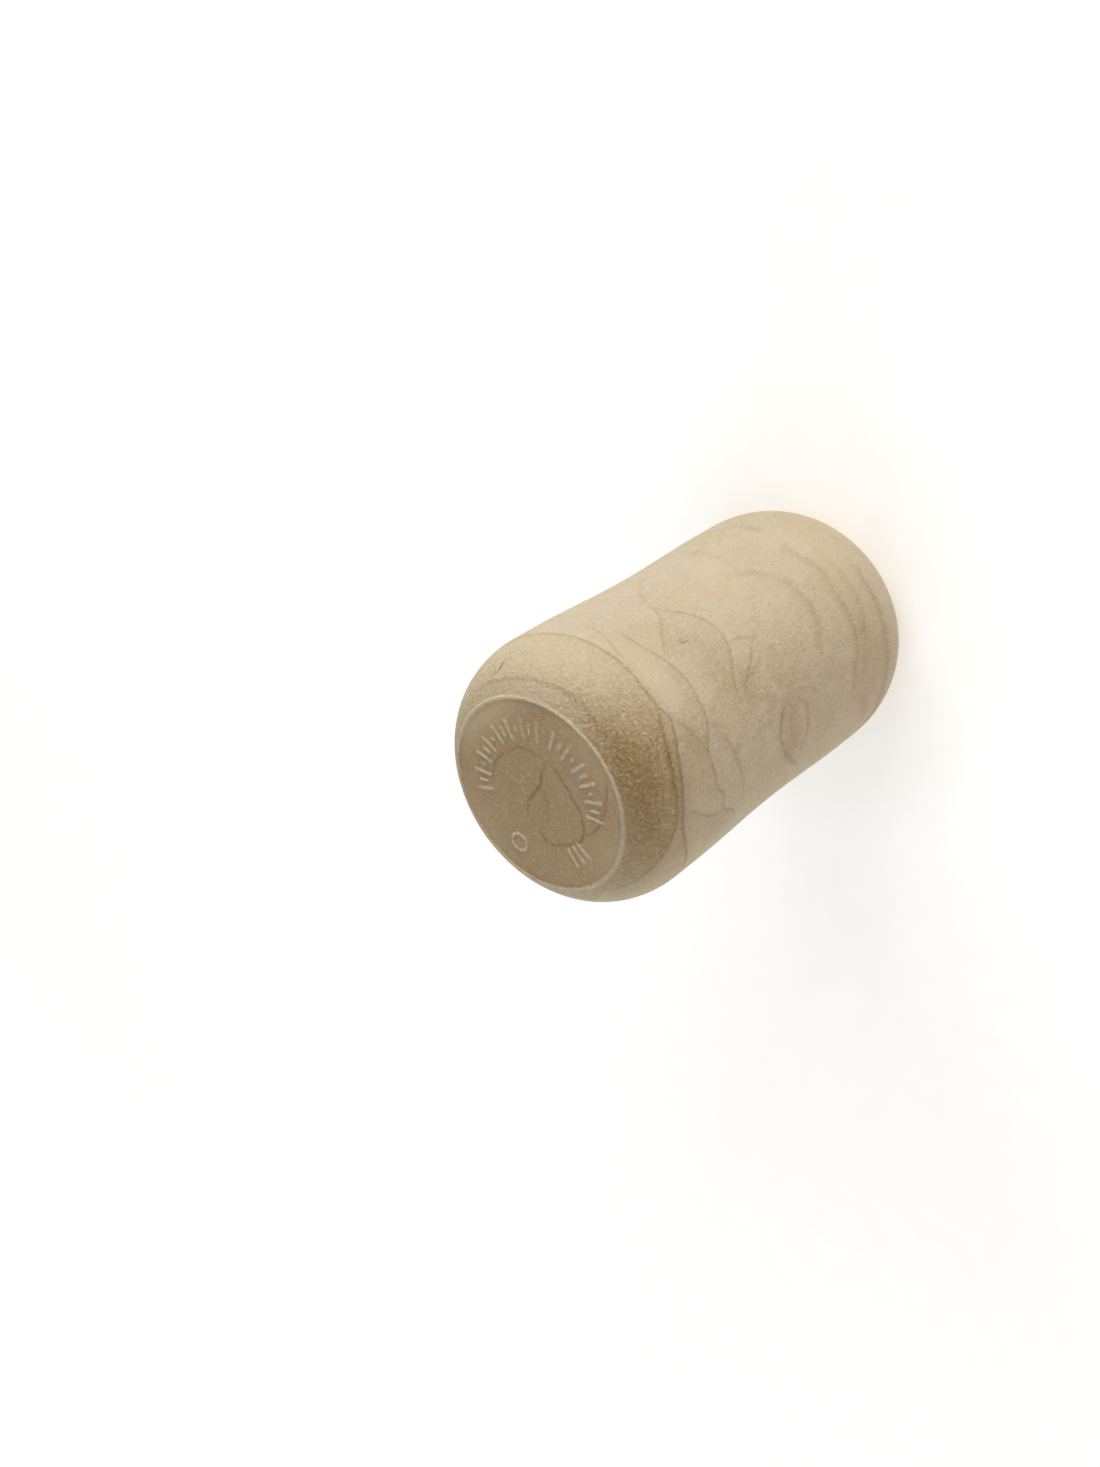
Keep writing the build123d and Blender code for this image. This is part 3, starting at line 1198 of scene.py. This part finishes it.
@dataclass(frozen=True)
class Zones:
    """Sockets that say where on the cork a place is and what its patches ask for."""

    disc: Socket
    shoulder: Socket
    lip: Socket
    dense: Socket                   # disc and shoulder, where the foam holds less gas
    deep: Socket                    # the patches' three tones, with their painted shade and light
    blush: Socket
    drawn: Socket


@dataclass(frozen=True)
class Foam:
    """Sockets of the foam's texture."""

    cells: Socket                   # fine cells, everywhere
    grain: Socket                   # coarser, sugary grain
    fibres: Socket                  # drawn out along the axis, about zero
    core: Socket                    # fine dark middle of the seams
    halo: Socket                    # softer band round it
    crest: Socket                   # raised marks


@dataclass(frozen=True)
class FoamedElastomer:
    """Foamed thermoplastic elastomer, injection moulded.

    Its skin is matte and slightly see-through: light enters and comes out warmer, fine cells
    show as grain, and the seams between fronts of melt show as thin darker lines.  A field
    with four numbers is an eased step: where it starts and ends, and its result there.
    """

    # colours
    pale: str = "d7c7ab"            # skin where it is thick and well foamed
    warm: str = "d3c1a0"            # patches with less gas, which let the melt's colour through
    shoulder: str = "d6c4a2"        # grainy shoulder, denser than the side
    disc: str = "d6bb92"            # flat disc, densest of all
    light: str = "f0d9ae"           # where the foam is richest in gas, and as painted light at the disc's edge
    melt: str = "c0a981"            # multiplies the skin where the foam is thin, and as painted shade on part of the shoulder
    seam: str = "bfab8a"            # multiplies the skin along a seam
    blush: str = "dcc6bb"           # multiplies the skin with a pink grey
    crest: str = "f8ecd4"           # painted glints on grain tops, painted highlight on the lip, paler strokes

    # how the skin takes light
    roughness: float = 0.60
    rough_spread: float = 0.05
    top_gloss: float = 0.25            # how much smoother the pale tops are
    ior: float = 1.45
    specular: float = 0.38
    scatter: float = 0.22           # share of light that goes through the skin
    scatter_reach: float = 0.8      # how far red light travels inside
    scatter_colours: tuple[float, float, float] = (1.0, 0.62, 0.36)     # green and blue less far

    # the foam's texture
    clouds: Noise = Noise(6.0, rough=0.55)
    mottle: Noise = Noise(1.3, 4.0, 0.65)
    cells: Noise = Noise(0.22, rough=0.65)
    grain: Noise = Noise(0.29)
    fibres: Noise = Noise(0.42)
    fibre_stretch: tuple[float, float, float] = (1, 1, 0.38)    # longer along the axis
    sheen: Noise = Noise(0.9, 2.0, 0.5)
    sheen_step: tuple[float, float] = (0.3, 0.7)

    # where the finish changes, measured from the disc's plane and radius
    edge: Noise = Noise(0.8, 2.0, 0.5)      # wander of the grainy shoulder's edge
    edge_wander: float = 0.35
    edge_width: float = 0.34
    disc_above: tuple[float, float] = (-0.12, -0.05)
    disc_within: tuple[float, float] = (-0.10, -0.36)
    lip_above: tuple[float, float] = (0.02, 0.11)
    lip_outside: tuple[float, float] = (-0.40, -0.30)
    disc_dense: float = 0.9         # the disc's grain beside the shoulder's

    # seams, with their widths counted in half widths
    waver: Noise = Noise(0.7)
    waver_width: float = 2.2
    core_width: float = 1.5
    halo_width: float = 3.4
    gaps: Noise = Noise(0.9)
    gap_step: tuple[float, float, float, float] = (0.30, 0.60, 0.60, 1.0)

    # shares of the melt's deeper colour
    cloud_step: tuple[float, float] = (0.35, 0.68)
    mottle_step: tuple[float, float] = (0.30, 0.70)
    mottle_deep: float = 0.10
    fibres_deep: float = 0.38       # fibres everywhere
    drawn_deep: float = 0.50        # and more where a patch is drawn out
    cells_deep: float = 1.15
    grain_deep: float = 0.75
    lee_deep: float = 0.18
    halo_deep: float = 0.14
    core_share: float = 0.55        # of the seam's own colour

    # shares of the pale top colour: painted glints on grains, painted highlight on the lip, paler
    # strokes
    top_step: tuple[float, float] = (0.56, 0.76)
    top_share: float = 0.06
    dense_top_share: float = 0.28
    mark_pale_tops: tuple[float, float, float, float] = (0.30, 0.62, 0.42, 0.90)
    lip_highlight: tuple[float, float, float, float] = (0.30, 0.65, 0.12, 0.62)

    # heights of the fine surface
    cell_height: float = 0.125
    grain_height: float = 0.020
    dense_grain_height: float = 0.130
    fibre_height: float = 0.030
    core_height: float = -0.020
    crest_height: float = 0.060

    def zones(self, nodes: Wiring, outline: Outline) -> Zones:
        """Tell the disc, its lip and the grainy shoulder from the side.

        Args:
            nodes: the material's tree.
            outline: the form, for where the finish changes.

        Returns:
            The zones.
        """
        def from_level(step: tuple[float, float]) -> Socket:
            """Step over heights measured from the disc's plane."""
            low, high = step
            return nodes.ease(level, (outline.disc_z + low) * MM, (outline.disc_z + high) * MM)

        def from_radius(step: tuple[float, float]) -> Socket:
            """Step over radii measured from the disc's edge."""
            low, high = step
            return nodes.ease(radius, (outline.disc_radius + low) * MM,
                              (outline.disc_radius + high) * MM)

        level = nodes.parts(nodes.place)[2]
        flat_place = nodes.vector("MULTIPLY", nodes.place, (1, 1, 0))
        radius = nodes.vector("LENGTH", flat_place, output="Value")
        on_disc = nodes.calc("MULTIPLY", from_level(self.disc_above),
                             from_radius(self.disc_within))
        edge = nodes.calc("MULTIPLY_ADD", nodes.noise(self.edge), self.edge_wander,
                          nodes.stored("grain_edge"))
        in_grain = nodes.ease(edge, 0.0, self.edge_width)
        on_shoulder = nodes.calc("MULTIPLY", in_grain, nodes.calc("SUBTRACT", 1.0, on_disc))
        on_lip = nodes.calc("MULTIPLY", from_level(self.lip_above),
                            from_radius(self.lip_outside))
        dense = nodes.calc("MAXIMUM", on_shoulder,
                           nodes.calc("MULTIPLY", on_disc, self.disc_dense))
        return Zones(on_disc, on_shoulder, on_lip, dense,
                     *nodes.parts(nodes.stored("foam_tone_and_painted_light", "Vector")))

    def seams(self, nodes: Wiring) -> tuple[Socket, Socket]:
        """Draw the seams: a fine core, broken here and there, in a softer band.

        Args:
            nodes: the material's tree.

        Returns:
            Strength of the core and of the band.
        """
        waver = nodes.calc("SUBTRACT", nodes.noise(self.waver), 0.5)
        waver = nodes.calc("MULTIPLY", waver, self.waver_width)
        aside = nodes.vector("ADD", nodes.stored("seam_aside", "Vector"), waver)
        aside = nodes.vector("ABSOLUTE", aside)
        show = nodes.stored("seam_show", "Vector")

        def band(width: float) -> Socket:
            """Draw the seams once.

            Args:
                width: half widths from a seam's middle at which it is gone.

            Returns:
                Strength of the seams.
            """
            lines = add(nodes.tree, "ShaderNodeMapRange", {
                "Vector": aside, 7: (0.0, 0.0, 0.0), 8: (width, width, width),
                9: (1.0, 1.0, 1.0), 10: (0.0, 0.0, 0.0),
            }, data_type="FLOAT_VECTOR", interpolation_type="SMOOTHSTEP").outputs["Vector"]
            first, second, third = nodes.parts(nodes.vector("MULTIPLY", lines, show))
            return nodes.calc("MAXIMUM", nodes.calc("MAXIMUM", first, second), third)

        broken = nodes.ease(nodes.noise(self.gaps), *self.gap_step)
        core = nodes.calc("MULTIPLY", band(self.core_width), broken)
        return core, band(self.halo_width)

    def foam(self, nodes: Wiring, zones: Zones) -> Foam:
        """Make the foam's texture.

        Args:
            nodes: the material's tree.
            zones: where the finish changes.

        Returns:
            The texture.
        """
        along = nodes.vector("MULTIPLY", nodes.place, self.fibre_stretch)
        fibres = nodes.calc("SUBTRACT", nodes.noise(self.fibres, along), 0.5)
        strength = nodes.calc("MULTIPLY_ADD", zones.drawn, self.drawn_deep, self.fibres_deep)
        core, halo = self.seams(nodes)
        return Foam(
            cells=nodes.noise(self.cells),
            grain=nodes.noise(self.grain),
            fibres=nodes.calc("MULTIPLY", fibres, strength),
            core=core,
            halo=halo,
            crest=nodes.stored("mark_crest"),
        )

    def depth(self, nodes: Wiring, zones: Zones, foam: Foam) -> Socket:
        """Add up what lets the melt's own colour through, and the patches' painted shade and
        light.

        Args:
            nodes: the material's tree.
            zones: where the finish changes.
            foam: the texture.

        Returns:
            Share of the melt's colour, below zero where the foam is rich in gas or light is
            painted.
        """
        def grow(deep: Socket, value: Socket, share: float) -> Socket:
            """The depth with a share of one more value."""
            return nodes.calc("MULTIPLY_ADD", value, share, deep)

        mottle = nodes.ease(nodes.noise(self.mottle), *self.mottle_step)
        grain = nodes.calc("MULTIPLY", nodes.calc("SUBTRACT", 0.5, foam.grain), zones.dense)
        deep = grow(zones.deep, mottle, self.mottle_deep)
        deep = nodes.calc("ADD", deep, foam.fibres)
        deep = grow(deep, nodes.calc("SUBTRACT", 0.5, foam.cells), self.cells_deep)
        deep = grow(deep, grain, self.grain_deep)
        deep = grow(deep, nodes.stored("seam_lee"), self.lee_deep)
        return grow(deep, foam.halo, self.halo_deep)

    def tops(self, nodes: Wiring, zones: Zones, foam: Foam) -> Socket:
        """Find what stands up and is painted pale: glints on the grains, a highlight on the lip,
        paler tops on the marks.

        Args:
            nodes: the material's tree.
            zones: where the finish changes.
            foam: the texture.

        Returns:
            Share of the pale top colour.
        """
        # painted glints on the grains' tops
        grains = nodes.calc("MULTIPLY", nodes.ease(foam.grain, *self.top_step),
                            nodes.calc("MULTIPLY_ADD", zones.dense, self.dense_top_share,
                                       self.top_share))
        marks = nodes.calc("MULTIPLY", foam.crest, nodes.ease(foam.grain, *self.mark_pale_tops))
        # painted highlight along the lip
        lip = nodes.calc("MULTIPLY", zones.lip, nodes.ease(foam.grain, *self.lip_highlight))
        return nodes.calc("MAXIMUM", nodes.calc("MAXIMUM", grains, marks), lip)

    def colour(self, nodes: Wiring, zones: Zones, foam: Foam, tops: Socket) -> Socket:
        """Lay the colours over one another.

        Args:
            nodes: the material's tree.
            zones: where the finish changes.
            foam: the texture.
            tops: share of the rubbed colour.

        Returns:
            The skin's colour.
        """
        clouds = nodes.ease(nodes.noise(self.clouds), *self.cloud_step)
        skin = nodes.mix(clouds, srgb(self.pale), srgb(self.warm))
        skin = nodes.mix(zones.shoulder, skin, srgb(self.shoulder))
        skin = nodes.mix(zones.disc, skin, srgb(self.disc))
        deep = self.depth(nodes, zones, foam)
        thin = nodes.calc("MAXIMUM", deep, 0.0)
        rich = nodes.calc("MAXIMUM", nodes.calc("MULTIPLY", deep, -1.0), 0.0)
        skin = nodes.mix(thin, skin, srgb(self.melt), "MULTIPLY")
        skin = nodes.mix(rich, skin, srgb(self.light))
        pink = nodes.calc("MINIMUM", zones.blush, 1.0)
        skin = nodes.mix(pink, skin, srgb(self.blush), "MULTIPLY")
        core = nodes.calc("MULTIPLY", foam.core, self.core_share)
        skin = nodes.mix(core, skin, srgb(self.seam), "MULTIPLY")
        # painted glints on the grain tops, painted highlight on the lip, and paler strokes
        return nodes.mix(tops, skin, srgb(self.crest))

    def relief(self, nodes: Wiring, zones: Zones, foam: Foam) -> Socket:
        """Raise the fine surface that the mesh is too coarse for.

        Args:
            nodes: the material's tree.
            zones: where the finish changes.
            foam: the texture.

        Returns:
            The surface's direction at each place.
        """
        grain_height = nodes.calc("MULTIPLY_ADD", zones.dense, self.dense_grain_height * MM,
                                  self.grain_height * MM)
        height = nodes.calc("MULTIPLY", foam.grain, grain_height)
        layers = ((foam.cells, self.cell_height), (foam.fibres, self.fibre_height),
                  (foam.core, self.core_height), (foam.crest, self.crest_height))
        for layer, tall in layers:
            height = nodes.calc("MULTIPLY_ADD", layer, tall * MM, height)
        return add(nodes.tree, "ShaderNodeBump", {
            "Height": height, "Strength": 1.0, "Distance": 1.0,
        }).outputs[0]

    def material(self, outline: Outline) -> bpy.types.Material:
        """Build the material.

        Args:
            outline: the form, for where the finish changes.

        Returns:
            The material.
        """
        made = blank_material("foamed_elastomer_moulded")
        nodes = Wiring(made.node_tree)
        zones = self.zones(nodes, outline)
        foam = self.foam(nodes, zones)
        tops = self.tops(nodes, zones, foam)
        rough = nodes.ease(nodes.noise(self.sheen), *self.sheen_step,
                           self.roughness - self.rough_spread,
                           self.roughness + self.rough_spread)
        shader = add(nodes.tree, "ShaderNodeBsdfPrincipled", {
            "Base Color": self.colour(nodes, zones, foam, tops),
            "Roughness": nodes.calc("MULTIPLY_ADD", tops, -self.top_gloss, rough),
            "IOR": self.ior, "Normal": self.relief(nodes, zones, foam),
            "Specular IOR Level": self.specular, "Subsurface Weight": self.scatter,
            "Subsurface Radius": self.scatter_colours,
            "Subsurface Scale": self.scatter_reach * MM,
        }, subsurface_method="RANDOM_WALK")
        add(nodes.tree, "ShaderNodeOutputMaterial", {"Surface": shader.outputs[0]})
        return made


@dataclass(frozen=True)
class PaperSweep:
    """White studio paper: reads as the plain ground, keeps the cork's soft shadow, and has a
    painted contact shadow round its foot.
    """

    tone: str = "f2f1ee"
    fibre: Noise = Noise(3.0, rough=0.5)
    glow: float = 0.24              # lit faintly from below, as on a light table
    lift: float = 0.375             # more for the eye only, so the paper reads as white
    far_lift: float = 0.80          # the same where the lamps no longer reach
    reach: tuple[float, float] = (180.0, 420.0)     # between these distances from the cork
    painted_contact_shadow: float = 14.0           # how far out the paper's lift fades near the cork, a painted contact shadow
    contact_samples: int = 8

    def shine(self, nodes: Wiring, strength: Any) -> Socket:
        """Plain white light of the given strength."""
        return add(nodes.tree, "ShaderNodeEmission", {
            "Color": srgb(WHITE), "Strength": strength,
        }).outputs[0]

    def material(self) -> bpy.types.Material:
        """Build the paper's material.

        Returns:
            The material.
        """
        made = blank_material("matte_paper_white")
        nodes = Wiring(made.node_tree)
        tree = nodes.tree
        tint = nodes.mix(nodes.noise(self.fibre), srgb(self.tone), srgb(WHITE))
        paper = add(tree, "ShaderNodeBsdfDiffuse", {"Color": tint}).outputs[0]
        paper = add(tree, "ShaderNodeAddShader", {0: paper, 1: self.shine(nodes, self.glow)})
        away = nodes.vector("LENGTH", nodes.place, output="Value")
        near, far = self.reach
        rise = nodes.ease(away, near * MM, far * MM, self.lift, self.far_lift)
        # painted contact shadow: the eye's extra lift fades near the cork, as ambient occlusion
        # says
        open_share = add(tree, "ShaderNodeAmbientOcclusion", {
            "Distance": self.painted_contact_shadow * MM,
        }, samples=self.contact_samples).outputs["AO"]
        rise = nodes.calc("MULTIPLY", rise, open_share)
        seen = add(tree, "ShaderNodeAddShader", {
            0: paper.outputs[0], 1: self.shine(nodes, rise),
        }).outputs[0]
        both = add(tree, "ShaderNodeMixShader", {
            0: nodes.direct, 1: paper.outputs[0], 2: seen,
        }).outputs[0]
        add(tree, "ShaderNodeOutputMaterial", {"Surface": both})
        return made


# ---- studio ---------------------------------------------------------------------------------


@dataclass(frozen=True)
class Lamp:
    """A soft square lamp that faces the cork's middle."""

    name: str
    azimuth: float                  # degrees from +X
    elevation: float
    power: float                    # watts
    tint: str = WHITE
    distance: float = 600.0
    side: float = 500.0

    def build(self, target: Vector) -> bpy.types.Object:
        """Hang the lamp.

        Args:
            target: the point it faces, in metres.

        Returns:
            The lamp.
        """
        data = bpy.data.lights.new(self.name, "AREA")
        data.shape = "SQUARE"
        data.size = self.side * MM
        data.energy = self.power
        data.color = srgb(self.tint)[:3]
        lamp = place_in_scene(self.name, data)
        turn, rise = math.radians(self.azimuth), math.radians(self.elevation)
        away = Vector((math.cos(rise) * math.cos(turn), math.cos(rise) * math.sin(turn),
                       math.sin(rise)))
        lamp.location = target + self.distance * MM * away
        lamp.rotation_euler = away.to_track_quat("Z", "Y").to_euler()
        return lamp


@dataclass(frozen=True)
class Studio:
    """Pale floor, plain soft light and the camera."""

    paper: PaperSweep = PaperSweep()
    floor_side: float = 6000.0
    room: str = "fdfbf7"
    ambient: float = 0.16
    lamps: tuple[Lamp, ...] = (
        Lamp("key", -33.0, 12.0, 3.3),
        Lamp("bounce", 140.0, 12.0, 1.56),
        Lamp("fill", -128.0, 6.0, 0.76, "fff4e2"),
    )
    camera_place: tuple[float, float, float] = (3.3, -87.8, 110.7)
    camera_dip: float = 41.25       # degrees below the horizon, looking along +Y
    camera_roll: float = 122.6      # degrees clockwise
    camera_clip: float = 5.0
    lens: float = 38.67
    film_height: float = 36.0

    def floor(self) -> bpy.types.Object:
        """Lay the floor that the cork stands on.

        Returns:
            The floor.
        """
        half = self.floor_side / 2 * MM
        mesh = bpy.data.meshes.new("floor")
        corners = [(-half, -half, 0), (half, -half, 0), (half, half, 0), (-half, half, 0)]
        mesh.from_pydata(corners, [], [(0, 1, 2, 3)])
        mesh.materials.append(self.paper.material())
        return place_in_scene("floor", mesh)

    def sky(self) -> None:
        """Fill the room with even light, seen by the camera as plain white."""
        world = bpy.data.worlds.new("soft_room")
        bpy.context.scene.world = world
        world.use_nodes = True
        world.node_tree.nodes.clear()
        nodes = Wiring(world.node_tree)
        room = add(nodes.tree, "ShaderNodeBackground", {
            "Color": srgb(self.room), "Strength": self.ambient,
        }).outputs[0]
        white = add(nodes.tree, "ShaderNodeBackground", {
            "Color": srgb(WHITE), "Strength": 1.0,
        }).outputs[0]
        both = add(nodes.tree, "ShaderNodeMixShader", {0: nodes.direct, 1: room, 2: white})
        add(nodes.tree, "ShaderNodeOutputWorld", {"Surface": both.outputs[0]})

    def camera(self) -> bpy.types.Object:
        """Set the camera up close to the cork, turned about its own line of sight.

        Returns:
            The camera.
        """
        data = bpy.data.cameras.new("camera")
        data.sensor_fit = "VERTICAL"
        data.sensor_height = self.film_height
        data.lens = self.lens
        data.clip_start = self.camera_clip * MM
        camera = place_in_scene("camera", data)
        dip = Matrix.Rotation(math.radians(90 - self.camera_dip), 4, "X")
        roll = Matrix.Rotation(-math.radians(self.camera_roll), 4, "Z")
        place = Matrix.Translation(Vector(self.camera_place) * MM)
        camera.matrix_world = place @ dip @ roll
        bpy.context.scene.camera = camera
        return camera

    def build(self, target: Vector) -> bpy.types.Object:
        """Set the studio up.

        Args:
            target: the point that the lamps face, in metres.

        Returns:
            The floor.
        """
        self.sky()
        for lamp in self.lamps:
            lamp.build(target)
        self.camera()
        bpy.context.scene.view_settings.view_transform = "Standard"
        return self.floor()


# ---- making ---------------------------------------------------------------------------------


def main() -> None:
    """Build the cork and the studio."""
    logging.basicConfig(level=logging.INFO, format="%(name)s: %(message)s")
    skin = CorkSkin()
    piece = skin.build(FoamedElastomer().material(skin.outline))
    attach(piece, BODY)
    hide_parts(CAD_NODE)
    log.info("%s: %d vertices, %d faces", piece.name, len(piece.data.vertices),
             len(piece.data.polygons))
    low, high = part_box(CAD_NODE)
    Studio().build((low + high) / 2)
    log.info("studio: floor, lamps and camera")


if __name__ == "__main__":
    main()
